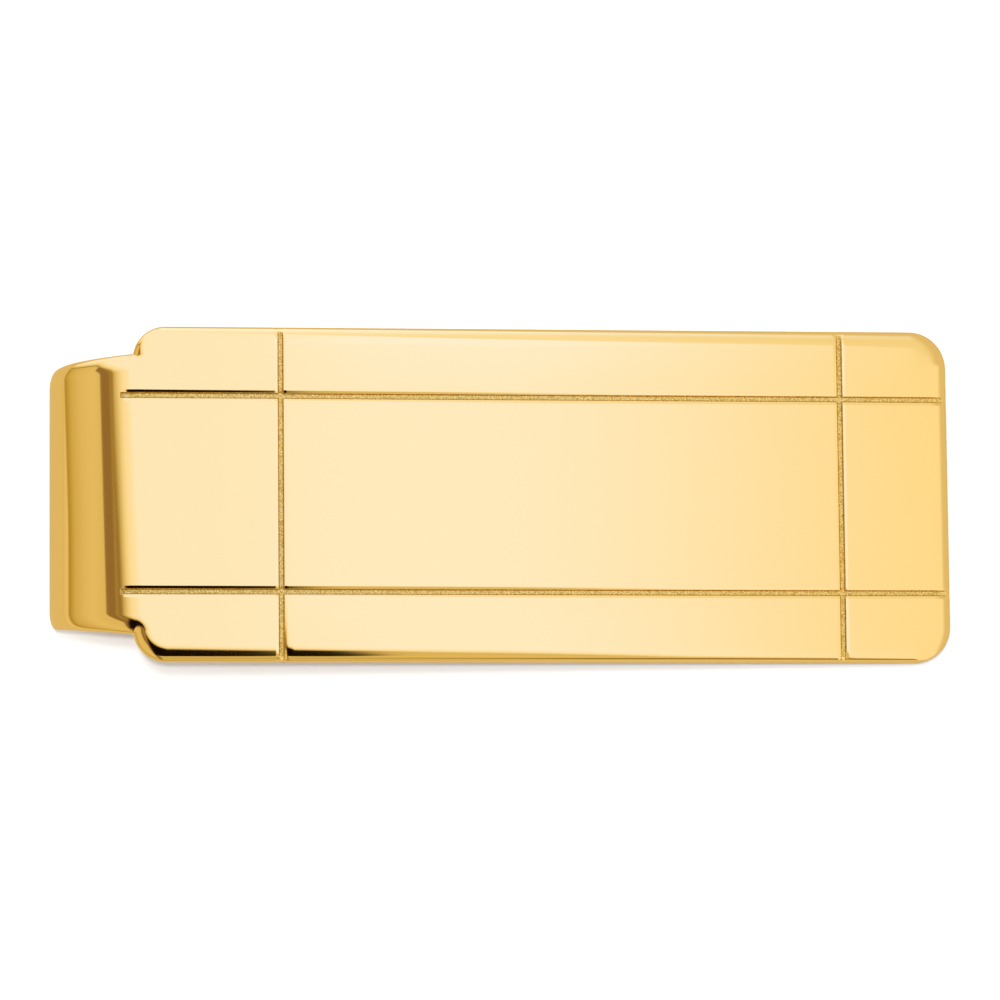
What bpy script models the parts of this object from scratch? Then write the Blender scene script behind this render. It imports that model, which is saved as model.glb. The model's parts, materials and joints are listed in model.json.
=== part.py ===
"""A one-piece spring money clip.

The real clip is a single strip: a wide grooved face plate, a narrower neck, a bow bent round a
mandrel, and a spring tongue that comes back under the plate and flares into a lip.
Here the strip is divided where it flexes.  Each zone starts as a piece of the flat blank, has its
rims rounded and its grooves pressed, and is then formed along the strip's bent mid-line.

A blank point is (s, y, n): s along the strip from the plate's free end, y across it, n through the
metal with n positive on the show side.  The formed clip has its free end at +X and its bow at -X.
The parent empty rest_tilt lays it on a table, resting on the bow and on the lip.
"""

import math

import bmesh
import bpy
from mathutils import Matrix, Vector

MM = 0.001
SMALL = 1e-6

# The strip
STRIP_THICKNESS = 0.85 * MM
EDGE_ROUND = 0.28 * MM              # rounding of the polished rims
EDGE_STEPS = 2

# The face plate
PLATE_WIDTH = 20.0 * MM
PLATE_LENGTH = 48.9 * MM            # free end to the ends of the shoulders
END_CORNER_RADIUS = 2.2 * MM
SHOULDER_RADIUS = 1.95 * MM

# The narrow part, which tapers all the way to the tip
NECK_WIDTH = 16.7 * MM              # at the shoulders
BOW_END_WIDTH = 14.4 * MM           # where the tongue leaves the bow
TIP_WIDTH = 11.0 * MM
TIP_CORNER_RADIUS = 3.0 * MM

# Pressed grooves in the face
GROOVE_WIDTH = 0.32 * MM
GROOVE_DEPTH = 0.25 * MM
LONG_GROOVE_INSET = 4.16 * MM       # from each long edge to the groove's middle
LONG_GROOVE_OVERRUN = 0.66 * MM     # how far the long grooves run past the shoulders
FREE_END_GROOVE_INSET = 6.54 * MM   # from the free end to the cross groove near it
BOW_END_GROOVE_INSET = 8.75 * MM    # from the shoulders' ends to the cross groove near them

# The bow: an easy bend that starts just before the shoulders' ends, then a tighter one
BEND_LEAD = 0.62 * MM               # how far before the shoulders' ends the bend starts
EASY_BEND_RADIUS = 6.85 * MM        # outside radii
EASY_BEND_ANGLE = math.radians(34.4)
BOW_RADIUS = 3.56 * MM

# The tongue
PINCH_FROM_END = 14.0 * MM          # from the plate's free end to where the tongue comes closest
PINCH_GAP = 0.3 * MM
PINCH_CREST_RADIUS = 13.0 * MM      # outside radius of the crest that meets the plate
LIP_ANGLE = math.radians(15.0)      # how far the lip turns down past the crest
LIP_LENGTH = 2.4 * MM               # straight stretch at the lip's end

# Where the strip is divided
SEAM = 0.3 * MM                     # gap between neighbouring zones, along the mid-line
GROOVE_END_WALL = 0.45 * MM         # metal left between the long grooves' ends and the first seam
FRONT_FLEX_ANGLE = math.radians(45.0)
BACK_FLEX_ANGLE = math.radians(135.0)
ROOT_FLEX_SHARE = 0.25              # of the tongue's straight run
BLADE_FLEX_SHARE = 0.60
CREST_CUT_SHARE = 0.93
FORM_STEP_ANGLE = math.radians(6.0)

GOLD = (0.90, 0.68, 0.32, 1.0)
GOLD_ROUGHNESS = 0.12

HALF = STRIP_THICKNESS / 2


# ---------------------------------------------------------------- the formed mid-line

def heading(angle):
    """Direction of travel along the mid-line, seen from -Y, once it has turned by angle."""
    return Vector((-math.cos(angle), 0, -math.sin(angle)))


def outward(angle):
    """The show side's normal at that heading."""
    return Vector((-math.sin(angle), 0, math.cos(angle)))


def strip_runs():
    """The mid-line as (length, turn) runs from the plate's free end; turn is in radians."""
    easy = EASY_BEND_RADIUS - HALF
    bow = BOW_RADIUS - HALF
    crest = PINCH_CREST_RADIUS - HALF
    flat = PLATE_LENGTH - BEND_LEAD
    easy_centre = Vector((-flat, 0, -easy))
    bow_centre = easy_centre + outward(EASY_BEND_ANGLE) * (easy - bow)
    crest_centre = Vector((-PINCH_FROM_END, 0, -STRIP_THICKNESS - PINCH_GAP - crest))
    between = crest_centre - bow_centre
    rise = math.atan2(between.z, between.x) + math.asin((bow + crest) / between.length)
    straight = math.sqrt(between.length_squared - (bow + crest) ** 2)
    bow_turn = math.pi - EASY_BEND_ANGLE + rise
    crest_turn = -(rise + LIP_ANGLE)
    return [
        (flat, 0.0),
        (easy * EASY_BEND_ANGLE, EASY_BEND_ANGLE),
        (bow * bow_turn, bow_turn),
        (straight, 0.0),
        (-crest * crest_turn, crest_turn),
        (LIP_LENGTH, 0.0),
    ]


RUNS = strip_runs()
EASY_RUN = 1
BOW_RUN = 2
TONGUE_RUN = 3
LIP_RUN = 5


def run_start(index):
    """Station at which a run starts."""
    return sum(length for length, turn in RUNS[:index])


def middle(station):
    """(point, angle) of the formed mid-line at a station."""
    point = Vector((0, 0, 0))
    angle = 0.0
    left = station
    for index, (length, turn) in enumerate(RUNS):
        last = index == len(RUNS) - 1
        step = left if last else min(left, length)
        if turn:
            bend = turn / length
            after = angle + step * bend
            point = point + (outward(after) - outward(angle)) / bend
            angle = after
        else:
            point = point + heading(angle) * step
        left -= step
        if left <= 0:
            break
    return point, angle


def formed(blank):
    """The place of a blank point (s, y, n) on the bent clip."""
    point, angle = middle(blank.x)
    return point + outward(angle) * blank.z + Vector((0, blank.y, 0))


def station_at(angle):
    """Station in the bow at which the strip has turned by angle."""
    if angle <= EASY_BEND_ANGLE:
        length, turn = RUNS[EASY_RUN]
        return run_start(EASY_RUN) + length * angle / turn
    length, turn = RUNS[BOW_RUN]
    return run_start(BOW_RUN) + length * (angle - EASY_BEND_ANGLE) / turn


def tongue_station(share):
    """Station at a share of the tongue's straight run."""
    return run_start(TONGUE_RUN) + share * RUNS[TONGUE_RUN][0]


STRIP_END = run_start(LIP_RUN) + LIP_LENGTH
PLATE_CUT = PLATE_LENGTH + LONG_GROOVE_OVERRUN + GROOVE_END_WALL
FRONT_FLEX = station_at(FRONT_FLEX_ANGLE)
BACK_FLEX = station_at(BACK_FLEX_ANGLE)
BOW_END = run_start(TONGUE_RUN)
ROOT_FLEX = tongue_station(ROOT_FLEX_SHARE)
BLADE_FLEX = tongue_station(BLADE_FLEX_SHARE)
CREST_CUT = tongue_station(CREST_CUT_SHARE)


# ---------------------------------------------------------------- the flat blank

def half_width(station):
    """Half the narrow part's width at a station."""
    if station < BOW_END:
        share = (station - PLATE_LENGTH) / (BOW_END - PLATE_LENGTH)
        return (NECK_WIDTH + share * (BOW_END_WIDTH - NECK_WIDTH)) / 2
    share = (station - BOW_END) / (STRIP_END - BOW_END)
    return (BOW_END_WIDTH + share * (TIP_WIDTH - BOW_END_WIDTH)) / 2


def corner(centre, radius, first, last, steps=8):
    """Points of an arc, from angle first to angle last."""
    angles = [first + (last - first) * i / steps for i in range(steps + 1)]
    return [(centre[0] + radius * math.cos(a), centre[1] + radius * math.sin(a)) for a in angles]


def plate_edge():
    """One side of the face plate's outline, from the free end to the cut in the first bend."""
    half = PLATE_WIDTH / 2
    neck = half_width(PLATE_LENGTH)
    end_centre = (END_CORNER_RADIUS, half - END_CORNER_RADIUS)
    shoulder_centre = (PLATE_LENGTH - SHOULDER_RADIUS, half - SHOULDER_RADIUS)
    reach = max(0.0, neck - shoulder_centre[1])
    last = math.asin(min(1.0, reach / SHOULDER_RADIUS))
    edge = corner(end_centre, END_CORNER_RADIUS, math.pi, math.pi / 2)
    edge += corner(shoulder_centre, SHOULDER_RADIUS, math.pi / 2, last)
    if reach == 0.0:
        edge.append((PLATE_LENGTH, neck))
    edge.append((PLATE_CUT - SEAM / 2, half_width(PLATE_CUT - SEAM / 2)))
    return edge


def strip_edge(start, end):
    """One side of a narrow zone's outline between two stations."""
    return [(start, half_width(start)), (end, half_width(end))]


def lip_edge(start, end):
    """One side of the lip's outline, with its rounded corner."""
    half = half_width(end)
    centre = (end - TIP_CORNER_RADIUS, half - TIP_CORNER_RADIUS)
    side = [(start, half_width(start))]
    return side + corner(centre, TIP_CORNER_RADIUS, math.pi / 2, 0.0)


def blank_from(edge):
    """The blank's metal inside an outline that mirrors this edge, as a bmesh, on its mid-plane."""
    curve = bpy.data.curves.new("outline", "CURVE")
    curve.dimensions = "2D"
    curve.fill_mode = "BOTH"
    curve.extrude = HALF
    around = edge + [(s, -y) for s, y in reversed(edge)]
    spline = curve.splines.new("POLY")
    spline.points.add(len(around) - 1)
    for point, (s, y) in zip(spline.points, around):
        point.co = (s, y, 0, 1)
    spline.use_cyclic_u = True
    outline = bpy.data.objects.new("outline", curve)
    bpy.context.scene.collection.objects.link(outline)
    graph = bpy.context.evaluated_depsgraph_get()
    mesh = bpy.data.meshes.new_from_object(outline.evaluated_get(graph))
    bpy.data.objects.remove(outline)
    bpy.data.curves.remove(curve)
    metal = bmesh.new()
    metal.from_mesh(mesh)
    bpy.data.meshes.remove(mesh)
    bmesh.ops.remove_doubles(metal, verts=metal.verts, dist=SMALL)
    bmesh.ops.dissolve_limit(
        metal, angle_limit=math.radians(1), verts=metal.verts, edges=metal.edges
    )
    bmesh.ops.recalc_face_normals(metal, faces=metal.faces)
    return metal


def round_rims(metal, cuts):
    """Rounds the rims on both faces, but leaves the ends at the cut stations square."""
    def on_cut(edge):
        return any(all(abs(v.co.x - c) < SMALL for v in edge.verts) for c in cuts)

    rims = [
        e for e in metal.edges
        if abs(e.verts[0].co.z - e.verts[1].co.z) < SMALL and len(e.link_faces) == 2
        and e.calc_face_angle() > math.radians(60) and not on_cut(e)
    ]
    bmesh.ops.bevel(
        metal, geom=rims, offset=EDGE_ROUND, segments=EDGE_STEPS, profile=0.5, affect="EDGES"
    )


def bend_stations(start, end):
    """Stations, a small turn apart, at which a zone needs points to follow the bend."""
    stations = []
    for index, (length, turn) in enumerate(RUNS):
        if not turn:
            continue
        count = math.ceil(abs(turn) / FORM_STEP_ANGLE)
        first = run_start(index)
        stations += [first + length * i / count for i in range(count + 1)]
    return [s for s in stations if start + SMALL < s < end - SMALL]


def form(metal, start, end, pivot):
    """Bends a zone of the blank along the mid-line, with its origin at pivot."""
    bmesh.ops.triangulate(metal, faces=[f for f in metal.faces if len(f.verts) > 4])
    for station in bend_stations(start, end):
        everything = metal.verts[:] + metal.edges[:] + metal.faces[:]
        bmesh.ops.bisect_plane(
            metal, geom=everything, dist=SMALL / 10, plane_co=(station, 0, 0), plane_no=(1, 0, 0)
        )
    for vert in metal.verts:
        vert.co = formed(vert.co) - pivot
    if metal.calc_volume(signed=True) < 0:
        bmesh.ops.reverse_faces(metal, faces=metal.faces)


# ---------------------------------------------------------------- pieces in the scene

def clear_scene():
    for old in list(bpy.data.objects):
        bpy.data.objects.remove(old)


def new_collection(name):
    collection = bpy.data.collections.new(name)
    bpy.context.scene.collection.children.link(collection)
    return collection


def polished_gold(name):
    """Polished gold plate on brass, one material for each zone."""
    material = bpy.data.materials.new(name)
    material.use_nodes = True
    shader = material.node_tree.nodes["Principled BSDF"]
    shader.inputs["Base Color"].default_value = GOLD
    shader.inputs["Metallic"].default_value = 1.0
    shader.inputs["Roughness"].default_value = GOLD_ROUGHNESS
    return material


def empty_at(name, point, parent, collection):
    """An empty at a point of the untilted clip, on a flexure's axis."""
    empty = bpy.data.objects.new(name, None)
    empty.empty_display_size = 3 * MM
    collection.objects.link(empty)
    empty.parent = parent
    here = origin_of(parent)
    empty.location = point - here
    empty["origin"] = list(point)
    return empty


def origin_of(empty):
    """Where an empty sits on the untilted clip."""
    if empty is None or "origin" not in empty:
        return Vector((0, 0, 0))
    return Vector(empty["origin"])


def add_piece(name, metal, parent, collection):
    mesh = bpy.data.meshes.new(name)
    metal.to_mesh(mesh)
    metal.free()
    mesh.materials.append(polished_gold(name))
    mesh.shade_smooth()
    mesh.set_sharp_from_angle(angle=math.radians(40))
    piece = bpy.data.objects.new(name, mesh)
    collection.objects.link(piece)
    piece.parent = parent
    return piece


def groove_cutter(name, start, end, across, width, cutters):
    """A square-ended bar that presses one groove into the flat face."""
    bpy.ops.mesh.primitive_cube_add(size=1)
    bar = bpy.context.object
    bar.name = name
    long_way = abs(end - start)
    bar.data.transform(Matrix.Diagonal((long_way, width, 2 * GROOVE_DEPTH, 1)))
    bar.location = ((start + end) / 2, across, HALF)
    for old in list(bar.users_collection):
        old.objects.unlink(bar)
    cutters.objects.link(bar)
    bar.hide_render = True
    bar.display_type = "WIRE"
    return bar


def groove_cutters(cutters):
    """Two long grooves that stop in the neck, and two that cross the plate from edge to edge."""
    half = PLATE_WIDTH / 2
    past = 2 * EDGE_ROUND
    stop = PLATE_LENGTH + LONG_GROOVE_OVERRUN
    bars = []
    for name, side in (("left_long_groove", 1), ("right_long_groove", -1)):
        across = side * (half - LONG_GROOVE_INSET)
        bars.append(groove_cutter(name, -past, stop, across, GROOVE_WIDTH, cutters))
    crossings = (
        ("free_end_cross_groove", FREE_END_GROOVE_INSET),
        ("bow_end_cross_groove", PLATE_LENGTH - BOW_END_GROOVE_INSET),
    )
    for name, station in crossings:
        first = station - GROOVE_WIDTH / 2
        last = station + GROOVE_WIDTH / 2
        bars.append(groove_cutter(name, first, last, 0, PLATE_WIDTH + 2 * past, cutters))
    return bars


def press_grooves(metal, bars):
    """Cuts the grooves into the flat blank."""
    mesh = bpy.data.meshes.new("flat_plate")
    metal.to_mesh(mesh)
    metal.free()
    flat = bpy.data.objects.new("flat_plate", mesh)
    bpy.context.scene.collection.objects.link(flat)
    for bar in bars:
        cut = flat.modifiers.new(bar.name, "BOOLEAN")
        cut.operation = "DIFFERENCE"
        cut.solver = "EXACT"
        cut.object = bar
    graph = bpy.context.evaluated_depsgraph_get()
    pressed = bpy.data.meshes.new_from_object(flat.evaluated_get(graph))
    bpy.data.objects.remove(flat)
    grooved = bmesh.new()
    grooved.from_mesh(pressed)
    bpy.data.meshes.remove(pressed)
    bmesh.ops.remove_doubles(grooved, verts=grooved.verts, dist=SMALL)
    return grooved


# ---------------------------------------------------------------- the zones

def make_face_plate(parent, collection, cutters):
    end = PLATE_CUT - SEAM / 2
    metal = blank_from(plate_edge())
    round_rims(metal, [end])
    metal = press_grooves(metal, groove_cutters(cutters))
    form(metal, 0, end, origin_of(parent))
    return add_piece("face_plate", metal, parent, collection)


def make_zone(name, first_cut, last_cut, parent, collection):
    """A narrow zone between two of the strip's cuts, half a seam inside each."""
    start = first_cut + SEAM / 2
    end = last_cut - SEAM / 2
    metal = blank_from(strip_edge(start, end))
    round_rims(metal, [start, end])
    form(metal, start, end, origin_of(parent))
    return add_piece(name, metal, parent, collection)


def make_lip(parent, collection):
    start = CREST_CUT + SEAM / 2
    metal = blank_from(lip_edge(start, STRIP_END))
    round_rims(metal, [start])
    form(metal, start, STRIP_END, origin_of(parent))
    return add_piece("lip", metal, parent, collection)


# ---------------------------------------------------------------- laying it on the table

def rest_angle():
    """How far the plate slopes when the clip rests on its bow and on the lip's lower rim."""
    start, angle = middle(run_start(BOW_RUN))
    bow_centre = start - outward(angle) * (BOW_RADIUS - HALF)
    tip, tip_angle = middle(STRIP_END)
    rim_centre = tip + outward(tip_angle) * (HALF - EDGE_ROUND) - heading(tip_angle) * EDGE_ROUND
    between = rim_centre - bow_centre
    slope = math.atan2(between.z, between.x)
    return slope + math.asin((BOW_RADIUS - EDGE_ROUND) / between.length)


def lay_on_table(tilt, pieces):
    """Tilts the clip, then puts its box's bottom centre at the origin."""
    tilt.rotation_euler = (0, rest_angle(), 0)
    bpy.context.view_layer.update()
    points = [p.matrix_world @ v.co for p in pieces for v in p.data.vertices]
    low = Vector([min(p[i] for p in points) for i in range(3)])
    high = Vector([max(p[i] for p in points) for i in range(3)])
    tilt.location = (-(low.x + high.x) / 2, -(low.y + high.y) / 2, -low.z)
    bpy.context.view_layer.update()


def build():
    clear_scene()
    clip = new_collection("money_clip")
    cutters = new_collection("cutters")
    tilt = empty_at("rest_tilt", Vector((0, 0, 0)), None, clip)
    front_flex = empty_at("bow_front_flex", middle(FRONT_FLEX)[0], tilt, clip)
    back_flex = empty_at("bow_back_flex", middle(BACK_FLEX)[0], front_flex, clip)
    root_flex = empty_at("tongue_root_flex", middle(ROOT_FLEX)[0], back_flex, clip)
    blade_flex = empty_at("tongue_blade_flex", middle(BLADE_FLEX)[0], root_flex, clip)
    pieces = [
        make_face_plate(tilt, clip, cutters),
        make_zone("bow_front", PLATE_CUT, FRONT_FLEX, tilt, clip),
        make_zone("bow_nose", FRONT_FLEX, BACK_FLEX, front_flex, clip),
        make_zone("bow_back", BACK_FLEX, BOW_END, back_flex, clip),
        make_zone("tongue_root", BOW_END, ROOT_FLEX, back_flex, clip),
        make_zone("tongue_blade", ROOT_FLEX, BLADE_FLEX, root_flex, clip),
        make_zone("tongue_tip", BLADE_FLEX, CREST_CUT, blade_flex, clip),
        make_lip(blade_flex, clip),
    ]
    for bar in cutters.objects:
        bar.parent = tilt
    lay_on_table(tilt, pieces)


build()
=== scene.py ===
"""Looks of the one-piece money clip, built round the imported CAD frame.

The whole clip is one polished skin.  Its flat blank is triangulated once, with lines where the
rims, grooves and bends need them, given its heights, then formed along the strip's bent mid-line.
A blank point is (s, y, n) in millimetres: s along the strip from the plate's free end, y across
it, n through the metal with n positive on the show side.
"""

import json
import math

import bpy
import numpy as np
from mathutils import Matrix, Vector
from mathutils.geometry import delaunay_2d_cdt


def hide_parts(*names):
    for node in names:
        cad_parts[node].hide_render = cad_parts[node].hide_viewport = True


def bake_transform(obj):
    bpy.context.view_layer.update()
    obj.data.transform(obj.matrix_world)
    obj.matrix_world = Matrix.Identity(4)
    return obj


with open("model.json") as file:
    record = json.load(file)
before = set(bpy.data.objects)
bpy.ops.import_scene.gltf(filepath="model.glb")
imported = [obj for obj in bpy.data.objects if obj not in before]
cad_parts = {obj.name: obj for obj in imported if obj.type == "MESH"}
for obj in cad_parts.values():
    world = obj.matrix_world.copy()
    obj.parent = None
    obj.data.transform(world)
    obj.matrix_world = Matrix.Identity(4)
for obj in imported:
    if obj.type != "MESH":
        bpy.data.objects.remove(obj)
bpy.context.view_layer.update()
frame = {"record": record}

MM = 0.001

# The strip, as the CAD has it, in mm
THICKNESS = 0.85
HALF = THICKNESS / 2
PLATE_WIDTH = 20.0
PLATE_LENGTH = 48.9                 # from the free end to the ends of the shoulders
END_CORNER_RADIUS = 2.2
SHOULDER_RADIUS = 1.95
NECK_WIDTH = 16.7
BOW_END_WIDTH = 14.4
TIP_WIDTH = 11.0
TIP_CORNER_RADIUS = 3.0
BEND_LEAD = 0.62                    # how far before the shoulders' ends the bend starts
EASY_BEND_RADIUS = 6.85             # outside radii
EASY_BEND_ANGLE = math.radians(34.4)
BOW_RADIUS = 3.56
PINCH_FROM_END = 14.0               # where the tongue comes closest to the plate
PINCH_GAP = 0.3
PINCH_CREST_RADIUS = 13.0
LIP_ANGLE = math.radians(15.0)
LIP_LENGTH = 2.4
LONG_GROOVE_INSET = 4.16            # from each long edge to the groove's middle
LONG_GROOVE_OVERRUN = 0.66          # how far the long grooves run past the shoulders
FREE_END_GROOVE_INSET = 6.54
BOW_END_GROOVE_INSET = 8.75
CROSS_GROOVES = (FREE_END_GROOVE_INSET, PLATE_LENGTH - BOW_END_GROOVE_INSET)

# Polished rims: a quarter of an ellipse on each face
SHOW_RIM = (1.05, 0.42)             # width across the face, drop down the side
BACK_RIM = (0.50, 0.35)
RIM_STEPS = 12

# Grooves: flat floor, steep walls, and lips that the mop has rolled over
GROOVE_DEPTH = 0.13
GROOVE_FLOOR_HALF = 0.095
GROOVE_WALL = 0.09
GROOVE_BLEND = 0.008                # softness of the edge where a groove runs out at a rim
LIP_DEPTH = 0.046                   # along the long grooves
CROSS_LIP_SHARE = 0.25              # of that depth, along the cross grooves
LIP_WIDTH = 0.16
LIP_CURVE = 1.3                     # how fast a lip's roll dies away from the groove
LIP_RUN_OUT = (0.6, 0.5)            # where a long groove's lips stop before its end, and over what
CORNER_DEPTHS = (0.03, 0.10)        # rolled off where each cross groove runs out at the -Y edge
CORNER_FADE = (0.24, 1.1)           # away from the groove and in from the edge
CORNER_HAND_OVER = 4.0              # the width over which the roll at -Y gives way to none at +Y

# Lines of points that follow the grooves: distances from a groove's middle and past its end
LINES_REACH = 0.75
GROOVE_LINES = (
    0.0, 0.05, 0.095, 0.11, 0.125, 0.14, 0.155, 0.17, 0.185, 0.2, 0.225, 0.25, 0.28, 0.31, 0.325,
    0.335, 0.345, 0.4, 0.5, 0.75,
)
GROOVE_END_LINES = (
    -0.12, -0.05, -0.02, 0.0, 0.02, 0.05, 0.08, 0.12, 0.18, 0.26, 0.38, 0.55, 0.75,
)
GROOVE_LINES_LEAD = 1.0             # how far past the free end they start
CORNER_LINES = (0.0, 0.5, 1.0)      # shares of the turn round each shoulder's inside corner
BENT_LINES = (-4.0, -2.0, 0.0, 2.0, 4.0)    # along the bow and tongue, in y

# The mop has rolled the free end's +Y corner over more than the rest of the rim
ROLL_REACH = 1.7
ROLL_DEPTH = 0.045
ROLL_SPREAD = (16.0, 9.0)           # along the strip and across it

ARC_STEP = math.radians(5.0)
BEND_STEP = math.radians(1.5)
OUTSIDE = 12.0                      # past every edge of the blank
SKIN_INSET = 0.004                  # keeps the true curves inside the CAD's box
STIPPLE_FROM = 0.02                 # share of a groove's depth at which its stipple starts
HALVINGS = 60                       # steps of the search for the shoulder's inside corner
POINT_MERGE = 1e-6
TINY = 1e-9
EXPONENT_LIMIT = 50


# ---------------------------------------------------------------- the formed mid-line

def heading(angle):
    """Direction of travel along the mid-line as (x, z), once it has turned by angle."""
    return np.stack([-np.cos(angle), -np.sin(angle)], -1)


def outward(angle):
    """The show side's normal there as (x, z)."""
    return np.stack([-np.sin(angle), np.cos(angle)], -1)


def strip_runs():
    """The mid-line as (length, turn) runs from the plate's free end."""
    easy = EASY_BEND_RADIUS - HALF
    bow = BOW_RADIUS - HALF
    crest = PINCH_CREST_RADIUS - HALF
    flat = PLATE_LENGTH - BEND_LEAD
    bow_centre = np.array([-flat, -easy]) + outward(EASY_BEND_ANGLE) * (easy - bow)
    crest_centre = np.array([-PINCH_FROM_END, -THICKNESS - PINCH_GAP - crest])
    across, up = crest_centre - bow_centre
    between = math.hypot(across, up)
    rise = math.atan2(up, across) + math.asin((bow + crest) / between)
    straight = math.sqrt(between ** 2 - (bow + crest) ** 2)
    bow_turn = math.pi - EASY_BEND_ANGLE + rise
    return [
        (flat, 0.0),
        (easy * EASY_BEND_ANGLE, EASY_BEND_ANGLE),
        (bow * bow_turn, bow_turn),
        (straight, 0.0),
        (crest * (rise + LIP_ANGLE), -(rise + LIP_ANGLE)),
        (LIP_LENGTH, 0.0),
    ]


RUNS = strip_runs()
EASY_RUN = 1
BOW_RUN = 2
TONGUE_RUN = 3


def run_start(index):
    """Station at which a run of the mid-line starts."""
    return sum(run[0] for run in RUNS[:index])


BEND_START = run_start(EASY_RUN)
BOW_END = run_start(TONGUE_RUN)
STRIP_END = run_start(len(RUNS))
GROOVE_STOP = PLATE_LENGTH + LONG_GROOVE_OVERRUN


def middle(s):
    """(x, z) points and turned angles of the formed mid-line at stations s."""
    point = np.zeros(s.shape + (2,))
    angle = np.zeros(s.shape)
    left = s.copy()
    for index, (length, turn) in enumerate(RUNS):
        low = -np.inf if index == 0 else 0.0
        high = np.inf if index == len(RUNS) - 1 else length
        step = np.clip(left, low, high)
        if turn:
            bend = turn / length
            after = angle + step * bend
            point += (outward(after) - outward(angle)) / bend
            angle = after
        else:
            point += heading(angle) * step[..., None]
        left = left - length
    return point, angle


def station_at(angle):
    """Station in the bow at which the strip has turned by angle."""
    length, turn = RUNS[BOW_RUN]
    return run_start(BOW_RUN) + length * (angle - EASY_BEND_ANGLE) / turn


def tongue_station(share):
    """Station at a share of the tongue's straight run."""
    return BOW_END + share * RUNS[TONGUE_RUN][0]


# The clip lies on its bow and lip, so the plate slopes as the record's face_panel mount says
PANEL = next(m for m in frame["record"]["mounts"] if m["name"] == "face_panel")
TILT = math.atan2(PANEL["axis"][0], PANEL["axis"][2])
PANEL_MIDDLE = -(FREE_END_GROOVE_INSET + PLATE_LENGTH - BOW_END_GROOVE_INSET) / 2
LAID = Matrix.Rotation(TILT, 3, "Y")
LAID_AT = Vector(PANEL["pos_m"]) / MM - LAID @ Vector((PANEL_MIDDLE, 0, HALF))


def to_world(x, y, z, place=True):
    """Points (mm) or directions of the untilted clip, in the row frame."""
    out = np.stack([x, y, z], -1) @ np.array(LAID.transposed())
    return (out + np.array(LAID_AT)) * MM if place else out


def strip_point(s):
    """The middle of the formed strip at a station, in the row frame."""
    x, z = middle(np.array([s]))[0][0]
    return tuple(to_world(x, 0.0, z))


# ---------------------------------------------------------------- the blank's outline

def half_width(s):
    """Half the narrow part's width at stations s."""
    ends = [PLATE_LENGTH, BOW_END, STRIP_END - TIP_CORNER_RADIUS]
    widths = [NECK_WIDTH / 2, BOW_END_WIDTH / 2, TIP_WIDTH / 2]
    slope = (widths[1] - widths[0]) / (ends[1] - ends[0])
    before = widths[0] + slope * (np.asarray(s) - ends[0])
    return np.where(np.asarray(s) < ends[0], before, np.interp(s, ends, widths))


def taper_cosine(s):
    """Cosine of the narrow part's edge to the strip's own line."""
    step = 0.01
    slope = (half_width(s + step) - half_width(s)) / step
    return 1 / np.sqrt(1 + slope ** 2)


def arc(centre, radius, first, last):
    """Points of an arc between two angles."""
    count = max(1, math.ceil(abs(last - first) / ARC_STEP))
    angles = [first + (last - first) * i / count for i in range(count + 1)]
    return [(centre[0] + radius * math.cos(a), centre[1] + radius * math.sin(a)) for a in angles]


def find_corner():
    """The point where the shoulder's arc meets the neck's edge, and the arc's angle there."""
    centre = (PLATE_LENGTH - SHOULDER_RADIUS, PLATE_WIDTH / 2 - SHOULDER_RADIUS)
    low, high = 0.0, math.pi / 2
    for _ in range(HALVINGS):
        mid = (low + high) / 2
        s = centre[0] + SHOULDER_RADIUS * math.cos(mid)
        above = centre[1] + SHOULDER_RADIUS * math.sin(mid) > half_width(s)
        low, high = (low, mid) if above else (mid, high)
    return high, (centre[0] + SHOULDER_RADIUS * math.cos(high),
                  centre[1] + SHOULDER_RADIUS * math.sin(high))


NECK_TURN = math.asin(math.sqrt(1 - float(taper_cosine(PLATE_LENGTH + 1)) ** 2))
CORNER_TURN, CORNER = find_corner()


def outline(inset):
    """The blank's closed outline moved in by inset."""
    half = PLATE_WIDTH / 2
    shoulder = (PLATE_LENGTH - SHOULDER_RADIUS, half - SHOULDER_RADIUS)
    tip = (STRIP_END - TIP_CORNER_RADIUS, TIP_WIDTH / 2 - TIP_CORNER_RADIUS)
    end = (END_CORNER_RADIUS, half - END_CORNER_RADIUS)
    side = arc(end, END_CORNER_RADIUS - inset, math.pi, math.pi / 2)
    side += arc(shoulder, SHOULDER_RADIUS - inset, math.pi / 2, CORNER_TURN)
    if inset:
        side += arc(CORNER, inset, CORNER_TURN + math.pi, math.pi * 3 / 2 - NECK_TURN)[1:]
    side.append((BOW_END, float(half_width(BOW_END) - inset / taper_cosine(BOW_END))))
    side += arc(tip, TIP_CORNER_RADIUS - inset, math.pi / 2, 0.0)
    return side + [(s, -y) for s, y in reversed(side)]


def rounded_depth(along, across, radius):
    """How far inside a rounded corner a point is, from its overshoots past the corner's centre."""
    past = np.hypot(np.maximum(along, 0), np.maximum(across, 0))
    return radius - past - np.minimum(np.maximum(along, across), 0)


def plate_depth(s, y):
    """Distance inside the wide plate's edge."""
    radius = np.where(s < PLATE_LENGTH / 2, END_CORNER_RADIUS, SHOULDER_RADIUS)
    along = np.abs(s - PLATE_LENGTH / 2) - PLATE_LENGTH / 2 + radius
    across = np.abs(y) - PLATE_WIDTH / 2 + radius
    return rounded_depth(along, across, radius)


def strip_depth(s, y):
    """Distance inside the narrow part's edge."""
    side = (half_width(s) - np.abs(y)) * taper_cosine(s)
    along = s - STRIP_END + TIP_CORNER_RADIUS
    tip = rounded_depth(along, np.abs(y) - TIP_WIDTH / 2 + TIP_CORNER_RADIUS, TIP_CORNER_RADIUS)
    return np.where(along > 0, tip, side)


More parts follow.
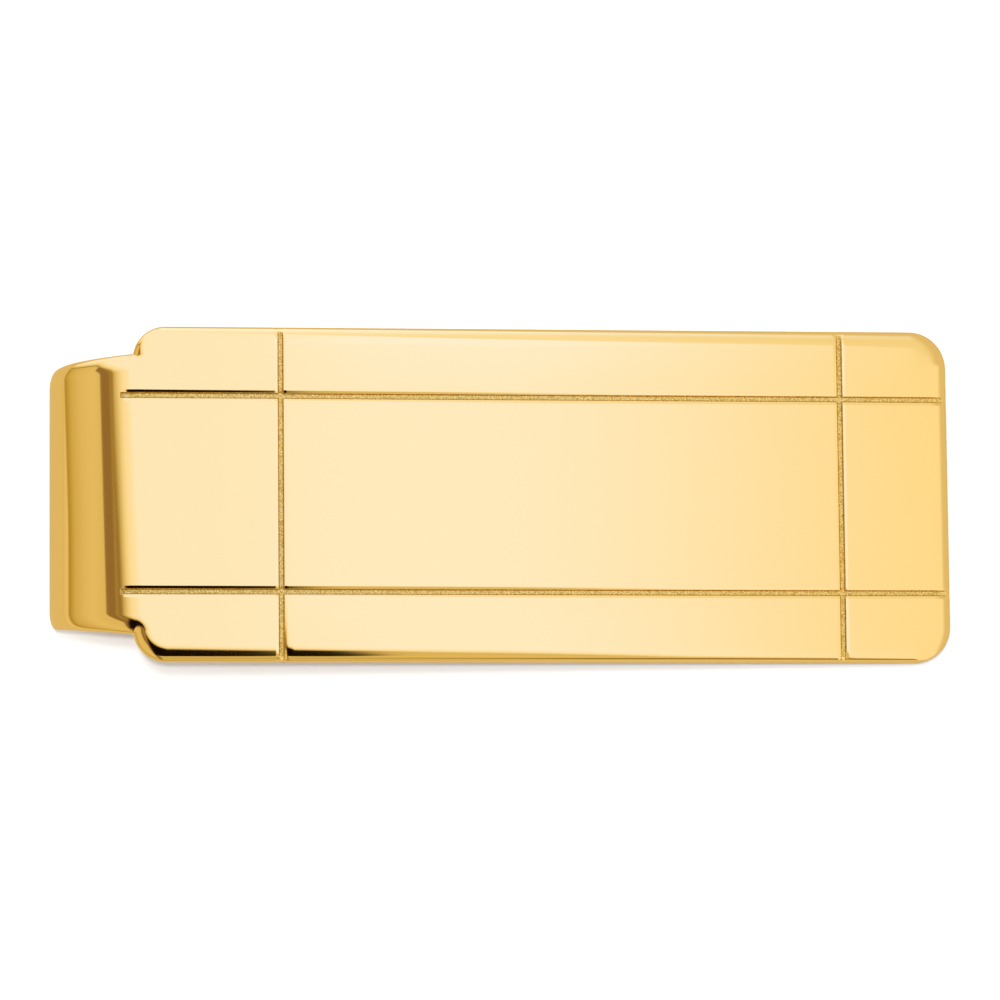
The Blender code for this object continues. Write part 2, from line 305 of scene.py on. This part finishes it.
def depth(s, y):
    """Distance inside the whole blank's edge."""
    from_corner = s - CORNER[0], np.abs(y) - CORNER[1]
    on_neck = from_corner[0] * math.cos(NECK_TURN) > from_corner[1] * math.sin(NECK_TURN)
    shoulder = s - PLATE_LENGTH + SHOULDER_RADIUS, np.abs(y) - PLATE_WIDTH / 2 + SHOULDER_RADIUS
    by_plate = (shoulder[0] < 0) | (np.arctan2(shoulder[1], shoulder[0]) > CORNER_TURN)
    by_corner = np.where(by_plate, plate_depth(s, y), np.hypot(*from_corner))
    return np.where(on_neck, strip_depth(s, y), by_corner)


# ---------------------------------------------------------------- the blank's heights

def smooth_fall(x):
    """1 below 0, 0 above 1, and smooth between."""
    t = np.clip(x, 0, 1)
    return 1 - t * t * (3 - 2 * t)


def groove_distances(s, y):
    """For each groove: how far a point is from its middle line, and how far past its end."""
    none = np.full(np.shape(s), -OUTSIDE)
    lines = [PLATE_WIDTH / 2 - LONG_GROOVE_INSET, LONG_GROOVE_INSET - PLATE_WIDTH / 2]
    for line in lines:
        yield np.abs(y - line), s - GROOVE_STOP
    for station in CROSS_GROOVES:
        yield np.abs(s - station), none


def groove_share(s, y):
    """1 on a groove's floor, 0 on the face, and between on its walls."""
    left = np.ones(np.shape(s))
    for away, past in groove_distances(s, y):
        wall = smooth_fall((away - GROOVE_FLOOR_HALF) / GROOVE_WALL)
        left = left * (1 - wall * smooth_fall(past / GROOVE_WALL + 0.5))
    return 1 - left


def mopped(s, y):
    """Heights that the mop took off.

    It rolled the grooves' lips, the +X side of each cross groove's -Y end, and the free end's +Y
    corner.
    """
    total = np.zeros(np.shape(s))
    stop, length = LIP_RUN_OUT
    rolls = (1, 1, CROSS_LIP_SHARE, CROSS_LIP_SHARE)
    for (away, past), roll in zip(groove_distances(s, y), rolls):
        beside = np.maximum(away - GROOVE_FLOOR_HALF - GROOVE_WALL, 0)
        rolled = roll * LIP_DEPTH * smooth_fall((past + stop) / length)
        total -= rolled * np.maximum(1 - beside / LIP_WIDTH, 0) ** LIP_CURVE
    from_edge = np.maximum(depth(s, y), 0)
    for station, deep in zip(CROSS_GROOVES, CORNER_DEPTHS):
        beside = np.maximum(np.abs(s - station) - GROOVE_FLOOR_HALF - GROOVE_WALL, 0)
        share = np.exp(-beside / CORNER_FADE[0] - from_edge / CORNER_FADE[1])
        one_side = smooth_fall((s - station) / GROOVE_FLOOR_HALF / 2 + 0.5)
        total -= deep * share * one_side * smooth_fall(y / CORNER_HAND_OVER + 0.5)
    inside = np.clip(1 - from_edge / ROLL_REACH, 0, 1)
    along, across = ROLL_SPREAD
    near = np.exp(-(s / along) ** 2 - ((PLATE_WIDTH / 2 - y) / across) ** 2)
    return total - ROLL_DEPTH * near * inside ** 2


def slope_of(function, s, y):
    """Slopes along s and y of a function of the blank."""
    step = 1e-4
    along = (function(s + step, y) - function(s - step, y)) / (2 * step)
    across = (function(s, y + step) - function(s, y - step)) / (2 * step)
    return np.stack([along, across], -1)


def rim_shape(inset, rim):
    """Ellipse terms of a rim at an inset: drop, cosine and sine."""
    width, drop = rim
    cosine = np.clip(1 - inset / width, 0, 1)
    sine = np.sqrt(1 - cosine ** 2)
    return -drop * (1 - sine), cosine, sine


def show_side(s, y, inset):
    """Heights and flat-space normals of the show side."""
    width, drop = SHOW_RIM
    fall, cosine, sine = rim_shape(inset, SHOW_RIM)
    inward = slope_of(depth, s, y)
    inward /= np.maximum(np.linalg.norm(inward, axis=-1, keepdims=True), TINY)
    cut = -GROOVE_DEPTH * groove_share(s, y)
    on_rim = 1 / (1 + np.exp(np.clip((fall - cut) / GROOVE_BLEND, -EXPONENT_LIMIT, EXPONENT_LIMIT)))
    height = HALF - SKIN_INSET + on_rim * fall + (1 - on_rim) * cut + mopped(s, y)
    cut_slope = -GROOVE_DEPTH * slope_of(groove_share, s, y)
    rest = (1 - on_rim)[:, None] * cut_slope + slope_of(mopped, s, y)
    flat = -(on_rim * cosine * drop / width)[:, None] * inward - sine[:, None] * rest
    normal = np.concatenate([flat, sine[:, None]], -1)
    return height, normal / np.linalg.norm(normal, axis=-1, keepdims=True)


def back_side(s, y, inset):
    """Heights and flat-space normals of the back."""
    width, drop = BACK_RIM
    fall, cosine, sine = rim_shape(inset, BACK_RIM)
    inward = slope_of(depth, s, y)
    inward /= np.maximum(np.linalg.norm(inward, axis=-1, keepdims=True), TINY)
    flat = -(cosine * drop / width)[:, None] * inward
    normal = np.concatenate([flat, -sine[:, None]], -1)
    return -HALF - fall, normal / np.linalg.norm(normal, axis=-1, keepdims=True)


# ---------------------------------------------------------------- triangulating the blank

def rim_insets():
    """How far in from the edge the rim's rows of points lie."""
    turns = [math.pi / 2 * i / RIM_STEPS for i in range(RIM_STEPS + 1)]
    return [SHOW_RIM[0] * (1 - math.cos(a)) for a in turns]


def bend_lines():
    """Stations at which the skin needs points to follow the bends."""
    stations = []
    for index, (length, turn) in enumerate(RUNS):
        if turn:
            count = math.ceil(abs(turn) / BEND_STEP)
            stations += [run_start(index) + length * i / count for i in range(count + 1)]
    return stations


def triangulate(cuts):
    """Points, triangles and rim insets (nan off the rim lines) of the whole blank."""
    points, edges, owners = [], [], []

    def chain(line, owner, closed=False):
        first = len(points)
        points.extend(line)
        last = len(points) - 1
        edges.extend((i, i + 1) for i in range(first, last))
        owners.extend([owner] * (last - first))
        if closed:
            edges.append((last, first))
            owners.append(owner)

    insets = rim_insets()
    for inset in insets:
        chain(outline(inset), inset, closed=True)
    for side in (1, -1):
        for share in CORNER_LINES:
            turn = CORNER_TURN + math.pi + share * (math.pi / 2 - NECK_TURN - CORNER_TURN)
            end = [CORNER[k] + SHOW_RIM[0] * (math.cos, math.sin)[k](turn) for k in (0, 1)]
            chain([(CORNER[0], side * CORNER[1]), (end[0], side * end[1])], None)
        line = PLATE_WIDTH / 2 - LONG_GROOVE_INSET
        for away in GROOVE_LINES:
            for y in {line + away, line - away}:
                chain([(-GROOVE_LINES_LEAD, side * y), (GROOVE_STOP + LINES_REACH, side * y)], None)
        for past in GROOVE_END_LINES:
            s = GROOVE_STOP + past
            chain([(s, side * (line - LINES_REACH)), (s, side * (line + LINES_REACH))], None)
    for station in CROSS_GROOVES:
        for away in GROOVE_LINES:
            for s in {station + away, station - away}:
                chain([(s, -OUTSIDE), (s, OUTSIDE)], None)
    for s in bend_lines() + list(cuts):
        chain([(s, -OUTSIDE), (s, OUTSIDE)], None)
    for y in BENT_LINES:
        chain([(BEND_START, y), (STRIP_END, y)], None)

    found = delaunay_2d_cdt([Vector(p) for p in points], edges, [], 0, POINT_MERGE)
    flat = np.array([tuple(v) for v in found[0]])
    inset_at = np.full(len(flat), np.nan)
    for (a, b), sources in zip(found[1], found[4]):
        for source in sources:
            if source < len(owners) and owners[source] is not None:
                inset_at[[a, b]] = owners[source]
    faces = np.array(found[2])
    centre = flat[faces].mean(1)
    faces = faces[depth(centre[:, 0], centre[:, 1]) > 0]
    return flat, faces, inset_at


# ---------------------------------------------------------------- making the pieces

def skin_mesh(name, flat, faces, inset):
    """One closed piece of the skin: show side, back, edge walls and hidden ends."""
    used, compact = np.unique(faces, return_inverse=True)
    faces = compact.reshape(-1, 3)
    s, y = flat[used].T
    near = np.where(np.isnan(inset[used]), np.maximum(depth(s, y), 0), inset[used])
    top, top_normal = show_side(s, y, near)
    bottom, bottom_normal = back_side(s, y, near)
    count = len(s)

    edges = dict.fromkeys(e for a, b, c in faces for e in ((a, b), (b, c), (c, a)))
    border = [e for e in edges if e[::-1] not in edges]
    walls = [(a, a + count, b + count, b) for a, b in border]
    shell = [tuple(f) for f in faces] + [tuple(f[::-1] + count) for f in faces] + walls

    point, angle = middle(np.concatenate([s, s]))
    n = np.concatenate([top, bottom])
    x, z = (point + outward(angle) * n[:, None]).T
    places = to_world(x, np.concatenate([y, y]), z)
    flat_normal = np.concatenate([top_normal, bottom_normal])

    along = heading(angle) * flat_normal[:, :1] + outward(angle) * flat_normal[:, 2:]
    turned = to_world(along[:, 0], flat_normal[:, 1], along[:, 1], place=False)

    ordered = [f[::-1] for f in shell]
    mesh = bpy.data.meshes.new(name)
    mesh.from_pydata([tuple(p) for p in places], [], ordered)
    mesh.update()
    mesh.shade_smooth()
    on_edge = np.zeros(2 * count, bool)
    on_edge[: count] = inset[used] == 0.0
    on_edge[count:] = on_edge[:count]
    loops = []
    for polygon in mesh.polygons:
        corners = list(polygon.vertices)
        is_wall = len(corners) == 4
        cut_end = is_wall and not all(on_edge[i] for i in corners)
        for i in corners:
            loops.append(tuple(polygon.normal) if cut_end else tuple(turned[i]))
    mesh.normals_split_custom_set(loops)

    where = np.stack([np.concatenate([s, s]), np.concatenate([y, y]), n], -1)
    mesh.attributes.new("blank", "FLOAT_VECTOR", "POINT").data.foreach_set("vector", where.ravel())
    middle_s, middle_y = flat[used][faces].mean(1).T
    floor = groove_share(middle_s, middle_y) > STIPPLE_FROM
    floor &= rim_shape(depth(middle_s, middle_y), SHOW_RIM)[0] > -GROOVE_DEPTH
    slots = np.zeros(len(mesh.polygons), np.int32)
    slots[: len(faces)] = floor
    return mesh, slots


def make_piece(name, flat, faces, inset, first, last, materials):
    """The skin between two stations, as an object."""
    centre = flat[faces].mean(1)[:, 0]
    mesh, slots = skin_mesh(name, flat, faces[(centre > first) & (centre < last)], inset)
    for material in materials:
        mesh.materials.append(material)
    mesh.polygons.foreach_set("material_index", slots)
    piece = bpy.data.objects.new(name, mesh)
    bpy.context.scene.collection.objects.link(piece)
    return piece


# ---------------------------------------------------------------- materials

GOLD = "#ffdf9b"
STIPPLED_GOLD = "#ffdf8e"
GRAIN_PAINTED_SHADE_GOLD = "#cfa74c"             # painted shade: deeper, standing in for light bouncing from grain to grain

# A Mix node's colour sockets, by number because its other kinds of socket share their names
MIX_FACTOR, MIX_FIRST, MIX_SECOND, MIX_COLOUR = 0, 6, 7, 2


def linear(hex_colour):
    """A six-digit sRGB hex as linear RGBA."""
    values = [int(hex_colour[i: i + 2], 16) / 255 for i in (1, 3, 5)]
    return [v / 12.92 if v <= 0.04045 else ((v + 0.055) / 1.055) ** 2.4 for v in values] + [1.0]


def add_node(tree, kind, settings=None, values=None, links=None):
    """Adds a node, sets its properties and socket values, and links its inputs."""
    node = tree.nodes.new(kind)
    for name, value in (settings or {}).items():
        setattr(node, name, value)
    for socket, value in (values or {}).items():
        node.inputs[socket].default_value = value
    for socket, source in (links or {}).items():
        tree.links.new(source, node.inputs[socket])
    return node


def new_material(name):
    material = bpy.data.materials.new(name)
    material.use_nodes = True
    return material, material.node_tree, material.node_tree.nodes["Principled BSDF"]


def polished_gold_plate():
    """Brass, mopped to a mirror and gold plated.

    The eye gets near-mirror reflections, a little wavy because the mop never leaves a true flat,
    with the mop's faint lines along the strip.
    """
    material, tree, shader = new_material("polished_gold_plated_brass")
    shader.inputs["Base Color"].default_value = linear(GOLD)
    shader.inputs["Metallic"].default_value = 1.0
    place = add_node(tree, "ShaderNodeAttribute", {"attribute_name": "blank"})
    # Mop lines: about 0.15 mm apart and many millimetres long
    stretched = add_node(
        tree, "ShaderNodeMapping", values={"Scale": (0.05, 6.5, 1.0)},
        links={"Vector": place.outputs["Vector"]},
    )
    lines = add_node(
        tree, "ShaderNodeTexNoise", values={"Scale": 1.0, "Detail": 3.0, "Roughness": 0.6},
        links={"Vector": stretched.outputs["Vector"]},
    )
    # Thin and thick places in the polish, some 6 mm across
    cloud = add_node(
        tree, "ShaderNodeTexNoise", values={"Scale": 0.16, "Detail": 2.0},
        links={"Vector": place.outputs["Vector"]},
    )
    both = add_node(
        tree, "ShaderNodeMix", {"data_type": "FLOAT"}, {"Factor": 0.5},
        {"A": lines.outputs["Fac"], "B": cloud.outputs["Fac"]},
    )
    rough = add_node(
        tree, "ShaderNodeMapRange",
        values={"From Min": 0.3, "From Max": 0.7, "To Min": 0.05, "To Max": 0.09},
        links={"Value": both.outputs["Result"]},
    )
    tree.links.new(rough.outputs["Result"], shader.inputs["Roughness"])
    # The mop's waviness, a few tenths of a micrometre over some 5 mm
    waves = add_node(
        tree, "ShaderNodeBump", values={"Strength": 0.12, "Distance": 0.00002},
        links={"Height": cloud.outputs["Fac"]},
    )
    tree.links.new(waves.outputs["Normal"], shader.inputs["Normal"])
    return material


def stippled_gold_plate():
    """The pressed groove floors, left with the tool's fine stipple under the plating.

    The mop doesn't reach them, so they scatter light and look granular; painted shade round the
    grains also darkens the floors as a whole.
    """
    material, tree, shader = new_material("stippled_gold_plated_brass")
    shader.inputs["Metallic"].default_value = 1.0
    shader.inputs["Roughness"].default_value = 0.32
    place = add_node(tree, "ShaderNodeAttribute", {"attribute_name": "blank"})
    # Grains about 0.1 mm across, with painted shade round their edges, standing in for light lost
    # between grains
    grains = add_node(
        tree, "ShaderNodeTexVoronoi", {"feature": "F1"}, {"Scale": 10.0},
        {"Vector": place.outputs["Vector"]},
    )
    painted_grain_shade = add_node(
        tree, "ShaderNodeMapRange", values={"From Min": 0.2, "From Max": 0.7},
        links={"Value": grains.outputs["Distance"]},
    )
    # Base colour: the stippled gold, mixed towards painted shade at the grains' edges
    colour = add_node(
        tree, "ShaderNodeMix", {"data_type": "RGBA"},
        {MIX_FIRST: linear(STIPPLED_GOLD), MIX_SECOND: linear(GRAIN_PAINTED_SHADE_GOLD)},
        {MIX_FACTOR: painted_grain_shade.outputs["Result"]},
    )
    tree.links.new(colour.outputs[MIX_COLOUR], shader.inputs["Base Color"])
    stipple = add_node(
        tree, "ShaderNodeBump", values={"Strength": 0.6, "Distance": 0.00002},
        links={"Height": grains.outputs["Distance"]},
    )
    tree.links.new(stipple.outputs["Normal"], shader.inputs["Normal"])
    return material


# ---------------------------------------------------------------- studio

# The tent is a dome, laid out in degrees and mm.  turned is the angle from overhead towards the
# bow's side, round BOW_AXIS; zenith is the angle from overhead; side is the angle along y from the
# dome's middle.  A pair says where a part starts to show and where it is full, and each row of a
# table starts with the angle unless its comment says otherwise.
TENT_RADIUS = 150.0
TENT_STEP = 0.5
TENT_ACROSS = 90
TENT_UP = 92
BOW_AXIS = (-24.0, 4.0)             # x and z

WALL_TONES = (
    (0, "#e0b358"), (30, "#dfb256"), (40, "#e1b558"), (48, "#e6b95e"), (56, "#e1b459"),
    (62, "#d9ac50"), (70, "#d2a446"), (75, "#c6983a"), (79, "#b88a2c"), (82.5, "#b88a2c"),
    (84, "#e9bb62"), (91, "#e7b860"),
)
HORIZON_SHIFT = ((9, -2.6), (13, -2.3), (18, 1.6), (23.2, 5.9), (28, 9.5))  # y, then degrees
HORIZON_TURNED = (30, 75)
FREE_END_WALL = "#e2b967"
FREE_END_WALL_TURNED, FREE_END_WALL_ZENITH = (-38, -48), (40, 50)

SEAM_SIDE = 50
SEAM_WIDTH = (6, 3)
SEAM_TURNED = (20, 0)
SEAM_TONES = ((-34, "#8c6015"), (-31, "#976c1e"), (-26, "#b68e38"), (-10, "#c79e46"))

BACKDROP_START = ((-5, 8), (10, 42))    # turned, and its near edge in y
BACKDROP_FADE = 12
BACKDROP_BOW_END, BACKDROP_FREE_END = (45, 25), (-62, -40)
BACKDROP_END_SIDE, BACKDROP_END_TURNED = (28, 36), (20, 45)
BACKDROP_TONES = ((-36, "#f5d07f"), (-28, "#fcd98f"), (-18, "#fddb95"), (-10, "#fddd98"))
BACKDROP_FAR = "#fff2c8"
BACKDROP_FAR_SIDE = (34, 72)

GAP_EDGE = (25.1, 0.343)            # degrees at 0 mm, and degrees per mm
GAP_EDGE_REACH = (-40, 45)
GAP_FADE = 0.4
GAP_TURNED = (-5, 5)
GAP_CLOSED_Y, GAP_CLOSED_TURNED = (34, 46), (28, 24)
GAP_TONE, STRIPE_TONE = "#93672a", "#a77c2e"
STRIPE_AT = (20, 0.35, 18)          # degrees, and degrees per mm from that y
STRIPE_WIDTH = (2.5, 0.5)

SOFTBOX_FRONT = (                   # turned, its front edge in y, and its fade
    (-60, -124, 12), (-40, -105, 14), (-31, -97, 18), (-22.6, -72, 30), (-18, -62, 34),
    (-15, -45, 24), (-12.5, -36, 30), (-10, -25, 29), (0, -14, 36), (9, 0, 42), (14, 9, 46),
    (19.5, 18, 46), (22.5, 28, 46), (30, 46, 40), (45, 75, 40),
)
SOFTBOX_BACK = (                    # turned, and its back edge in y
    (-36, 30), (-33, 46), (-28.5, 56), (-22.6, 76), (-18, 97), (-10, 120), (0, 130), (20, 138),
)
SOFTBOX_TONES = (                   # from its front edge, 0, to its full light, 1
    (0.0, "#966a26"), (0.05, "#9c7029"), (0.18, "#d2a850"), (0.36, "#f3cd7a"), (0.55, "#ffda93"),
    (0.75, "#ffdf9b"), (0.9, "#fee4aa"), (1.0, "#ffe7b5"),
)
SOFTBOX_EDGE = (-0.02, 0.05)
SOFTBOX_BACK_EDGE = (4, -2)
SOFTBOX_END_X = (136, 112)
HOT_TONE = "#fff0cc"
HOT_X, HOT_Y, HOT_LIT = (8, 22), (26, 38), (0.9, 1.1)
HOT_SHARES = (0.3, 0.6)             # all over, and more on its +Y side
WARM_TONE, WARM_X = "#ffd989", (30, 72)
EDGE_TONE, EDGE_X, EDGE_LIT = "#dbb465", (14, 20), (0.25, 0.05)

BLACK_TONE = "#130902"              # the camera, as the tent holds it
BLACK_LEFT = ((-30, -12, 0), (9, 7, 4))     # side, and where it stops in turned
BLACK_LOW = ((6, 10, 13.5, 16), (-39, -38, -34, -30))   # x, and where it stops in side
BLACK_LIT, BLACK_X = (0.05, -0.05), (16.5, 12)
BLACK_FADES = (2, 1)                # at those two stops

TABLE_SIZE = 4.0                    # metres
TABLE_DROP = 0.00002                # keeps the table clear of the bow and the lip
TABLE_FOR_EYE = 0.92                # how much light it sends back
TABLE_PAINTED_SHADE = "#e3b65e"              # painted shade: the darker warm tone the gold shows of the table
TABLE_LIGHT = 1.58                  # the light that falls on it
FILL = 0.9
KEYS = (                            # name, place and size in mm, light from the table
    ("close_key", (-6, -32, 400), 16, 0.31),
    ("wide_key", (-12, 4, 400), 44, 0.31),
)

CAMERA_AIM = (0.0, -0.28, 4.6)      # mm
CAMERA_DISTANCE = 342.8             # mm
CAMERA_LEAN, CAMERA_ROLL = 6.94, -0.547     # degrees
CAMERA_LENS, CAMERA_SENSOR = 207.26, 36.0   # mm
CAMERA_NEAREST = 0.01               # metres


def light_for(tone):
    """The light, as linear RGB, that the gold turns into a tone."""
    return np.array(linear(tone)[:3]) / np.array(linear(GOLD)[:3])


def fade(value, start, stop):
    """0 at start, 1 at stop, smooth between."""
    t = np.clip((value - start) / (stop - start), 0, 1)
    return t * t * (3 - 2 * t)


def tones(value, table):
    """The light for a table's tones, blended between its rows."""
    places = [place for place, tone in table]
    lights = np.array([light_for(tone) for place, tone in table])
    return np.stack([np.interp(value, places, lights[:, k]) for k in range(3)], -1)


def over(under, top, mask):
    """One light laid over another where the mask is 1."""
    return under + (top - under) * mask[:, None]


def tent_light(x, y, z):
    """What the inside of the light tent sends to the metal, at points in mm."""
    turned = np.degrees(np.arctan2(BOW_AXIS[0] - x, z - BOW_AXIS[1]))
    zenith = np.degrees(np.arccos(np.clip(z / TENT_RADIUS, -1, 1)))
    side = np.degrees(np.arcsin(np.clip(y / TENT_RADIUS, -1, 1)))
    shift = np.interp(y, *np.array(HORIZON_SHIFT).T) * fade(turned, *HORIZON_TURNED)
    light = tones(zenith - shift, WALL_TONES)
    far_wall = fade(turned, *FREE_END_WALL_TURNED) * fade(zenith, *FREE_END_WALL_ZENITH)
    light = over(light, light_for(FREE_END_WALL), far_wall)

    # The seam round the front wall
    seam = fade(np.abs(side + SEAM_SIDE), *SEAM_WIDTH) * fade(turned, *SEAM_TURNED)
    light = over(light, tones(turned, SEAM_TONES), seam)

    # The white backdrop behind the clip
    start = np.interp(turned, *BACKDROP_START)
    behind = fade(y, start, start + BACKDROP_FADE)
    behind *= fade(turned, *BACKDROP_BOW_END)
    behind *= fade(turned, *BACKDROP_FREE_END)
    behind += fade(side, *BACKDROP_END_SIDE) * fade(turned, *BACKDROP_END_TURNED)
    far = fade(side, *BACKDROP_FAR_SIDE)
    backdrop = over(tones(turned, BACKDROP_TONES), light_for(BACKDROP_FAR), far)
    light = over(light, backdrop, np.minimum(behind, 1))

    # The gap between the softbox and the wall on the bow's side
    gap_end = GAP_EDGE[0] + GAP_EDGE[1] * np.clip(y, *GAP_EDGE_REACH)
    gap = fade(turned, gap_end + GAP_FADE, gap_end - GAP_FADE) * fade(turned, *GAP_TURNED)
    gap *= 1 - fade(y, *GAP_CLOSED_Y) * fade(turned, *GAP_CLOSED_TURNED)
    turn, turn_per_mm, middle_y = STRIPE_AT
    from_stripe = np.abs(turned - turn - turn_per_mm * (y - middle_y))
    stripe = fade(from_stripe, *STRIPE_WIDTH)[:, None]
    brown = light_for(GAP_TONE) + (light_for(STRIPE_TONE) - light_for(GAP_TONE)) * stripe
    light = over(light, brown, gap)

    # The softbox overhead, hottest towards +X and +Y, and dull along its front edge there
    table = np.array(SOFTBOX_FRONT).T
    front, length = (np.interp(turned, table[0], row) for row in table[1:])
    lit = (y - front) / length
    box = tones(lit, SOFTBOX_TONES)
    hot = fade(x, *HOT_X) * (HOT_SHARES[0] + HOT_SHARES[1] * fade(y, *HOT_Y)) * fade(lit, *HOT_LIT)
    box = over(box, light_for(HOT_TONE), hot)
    box = over(box, light_for(WARM_TONE), fade(x, *WARM_X))
    box = over(box, light_for(EDGE_TONE), fade(x, *EDGE_X) * fade(lit, *EDGE_LIT))
    back = np.interp(turned, *np.array(SOFTBOX_BACK).T)
    reach = fade(x, *SOFTBOX_END_X)
    reach *= fade(y, back + SOFTBOX_BACK_EDGE[0], back + SOFTBOX_BACK_EDGE[1])
    reach *= fade(lit, *SOFTBOX_EDGE)
    light = over(light, box, reach)

    # The black camera in front of it
    left = np.interp(side, *BLACK_LEFT)
    low = np.interp(x, *BLACK_LOW)
    soft_left, soft_low = BLACK_FADES
    black = fade(lit, *BLACK_LIT) * fade(turned, left + soft_left, left - soft_left)
    black *= fade(x, *BLACK_X)
    black *= fade(side, low - soft_low, low + soft_low)
    return over(light, light_for(BLACK_TONE), black)


def make_tent():
    """A round light tent that only the metal sees."""
    across = np.radians(np.arange(-TENT_ACROSS, TENT_ACROSS + TENT_STEP, TENT_STEP))
    up = np.radians(np.arange(-TENT_UP, TENT_UP + TENT_STEP, TENT_STEP))
    side, turn = np.meshgrid(across, up, indexing="ij")
    x = -TENT_RADIUS * np.cos(side) * np.sin(turn)
    y = TENT_RADIUS * np.sin(side)
    z = TENT_RADIUS * np.cos(side) * np.cos(turn)
    rows, columns = x.shape
    index = np.arange(rows * columns).reshape(rows, columns)
    faces = np.stack([index[:-1, :-1], index[:-1, 1:], index[1:, 1:], index[1:, :-1]], -1)
    mesh = bpy.data.meshes.new("light_tent")
    points = np.stack([x, y, z], -1).reshape(-1, 3)
    mesh.from_pydata((points * MM).tolist(), [], faces.reshape(-1, 4).tolist())
    light = np.ones((len(points), 4))
    light[:, :3] = tent_light(*points.T)
    colours = mesh.attributes.new("light", "FLOAT_COLOR", "POINT")
    colours.data.foreach_set("color", light.ravel())
    tent = bpy.data.objects.new("light_tent", mesh)
    bpy.context.scene.collection.objects.link(tent)
    material, tree, shader = new_material("lit_tent_cloth")
    tree.nodes.remove(shader)
    lit = add_node(tree, "ShaderNodeAttribute", {"attribute_name": "light"})
    glow = add_node(tree, "ShaderNodeEmission", links={"Color": lit.outputs["Color"]})
    tree.links.new(glow.outputs["Emission"], tree.nodes["Material Output"].inputs["Surface"])
    material.cycles.emission_sampling = "NONE"
    mesh.materials.append(material)
    for kind in ("camera", "diffuse", "transmission", "volume_scatter", "shadow"):
        setattr(tent, "visible_" + kind, False)


def make_table():
    """A plain white table top; the metal sees it a warm grey, which is painted shade in its colour
    for glossy rays.
    """
    material, tree, shader = new_material("white_table")
    shader.inputs["Roughness"].default_value = 1.0
    shader.inputs["Specular IOR Level"].default_value = 0.0
    path = add_node(tree, "ShaderNodeLightPath")
    # Glossy rays get a darker, warmer table colour: painted shade in the table's reflection
    painted_shade_for_metal = light_for(TABLE_PAINTED_SHADE) / TABLE_LIGHT
    colour = add_node(
        tree, "ShaderNodeMix", {"data_type": "RGBA"},
        {MIX_FIRST: (TABLE_FOR_EYE,) * 3 + (1.0,), MIX_SECOND: tuple(painted_shade_for_metal) + (1.0,)},
        {MIX_FACTOR: path.outputs["Is Glossy Ray"]},
    )
    tree.links.new(colour.outputs[MIX_COLOUR], shader.inputs["Base Color"])
    bpy.ops.mesh.primitive_plane_add(size=TABLE_SIZE, location=(0, 0, -TABLE_DROP))
    table = bpy.context.object
    table.name = "table_top"
    table.data.materials.append(material)


def make_world():
    """White all round, a little dimmer as fill than the camera sees it."""
    world = bpy.data.worlds.new("studio")
    bpy.context.scene.world = world
    world.use_nodes = True
    tree = world.node_tree
    tree.nodes.clear()
    path = add_node(tree, "ShaderNodeLightPath")
    strength = add_node(
        tree, "ShaderNodeMapRange", values={"To Min": FILL, "To Max": 1.0},
        links={"Value": path.outputs["Is Camera Ray"]},
    )
    sky = add_node(
        tree, "ShaderNodeBackground", values={"Color": (1, 1, 1, 1)},
        links={"Strength": strength.outputs["Result"]},
    )
    add_node(tree, "ShaderNodeOutputWorld", links={"Surface": sky.outputs["Background"]})


def make_keys():
    """Lamps overhead for the close shadow; the metal sees the tent's softbox instead."""
    for name, place, size, light in KEYS:
        data = bpy.data.lights.new(name, "AREA")
        data.shape = "DISK"
        data.size = size * MM
        data.energy = light / TABLE_FOR_EYE * (math.pi * place[2] * MM) ** 2
        lamp = bpy.data.objects.new(name, data)
        lamp.location = Vector(place) * MM
        lamp.rotation_euler = lamp.location.to_track_quat("Z", "Y").to_euler()
        lamp.visible_glossy = False
        lamp.visible_camera = False
        bpy.context.scene.collection.objects.link(lamp)


def make_camera():
    """Almost straight above, from a little in front, on a long lens."""
    lean = Matrix.Rotation(math.radians(CAMERA_LEAN), 4, "X")
    roll = Matrix.Rotation(math.radians(CAMERA_ROLL), 4, "Z")
    data = bpy.data.cameras.new("camera")
    data.sensor_width = CAMERA_SENSOR
    data.lens = CAMERA_LENS
    data.clip_start = CAMERA_NEAREST
    camera = bpy.data.objects.new("camera", data)
    back = lean.to_3x3() @ Vector((0, 0, 1))
    place = Vector(CAMERA_AIM) * MM + back * (CAMERA_DISTANCE * MM)
    camera.matrix_world = Matrix.Translation(place) @ lean @ roll
    bpy.context.scene.collection.objects.link(camera)
    bpy.context.scene.camera = camera


# ---------------------------------------------------------------- putting it together

NOSE = station_at(math.pi / 2)
ROOT_START = tongue_station(0.05)
BLADE_START = tongue_station(0.45)
BLADE_FULL = tongue_station(0.75)

make_camera()
blank, triangles, insets_at = triangulate([NOSE, ROOT_START, BLADE_START])
finishes = [polished_gold_plate(), stippled_gold_plate()]
pieces = (
    ("clip_face_and_bow_front", -OUTSIDE, NOSE, ("face", "nose"), (BEND_START, NOSE),
     ("face_plate", "bow_front", "bow_nose")),
    ("clip_bow_back", NOSE, ROOT_START, ("nose", "back"), (NOSE, BOW_END), ("bow_back",)),
    ("clip_tongue_root", ROOT_START, BLADE_START, ("back", "blade"), (ROOT_START, BLADE_START),
     ("tongue_root", "tongue_blade")),
    ("clip_tongue_and_lip", BLADE_START, STRIP_END + OUTSIDE, ("blade", "tip"),
     (BLADE_START, BLADE_FULL), ("tongue_tip", "lip")),
)
for title, first, last, bodies, turning, nodes in pieces:       # turning: two stations whose strip points are found and not used
    piece = make_piece(title, blank, triangles, insets_at, first, last, finishes)
    strip_point(turning[0])
    strip_point(turning[1])
    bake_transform(piece)
    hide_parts(*nodes)

make_table()
make_tent()
make_world()
make_keys()
bpy.context.scene.view_settings.view_transform = "Standard"
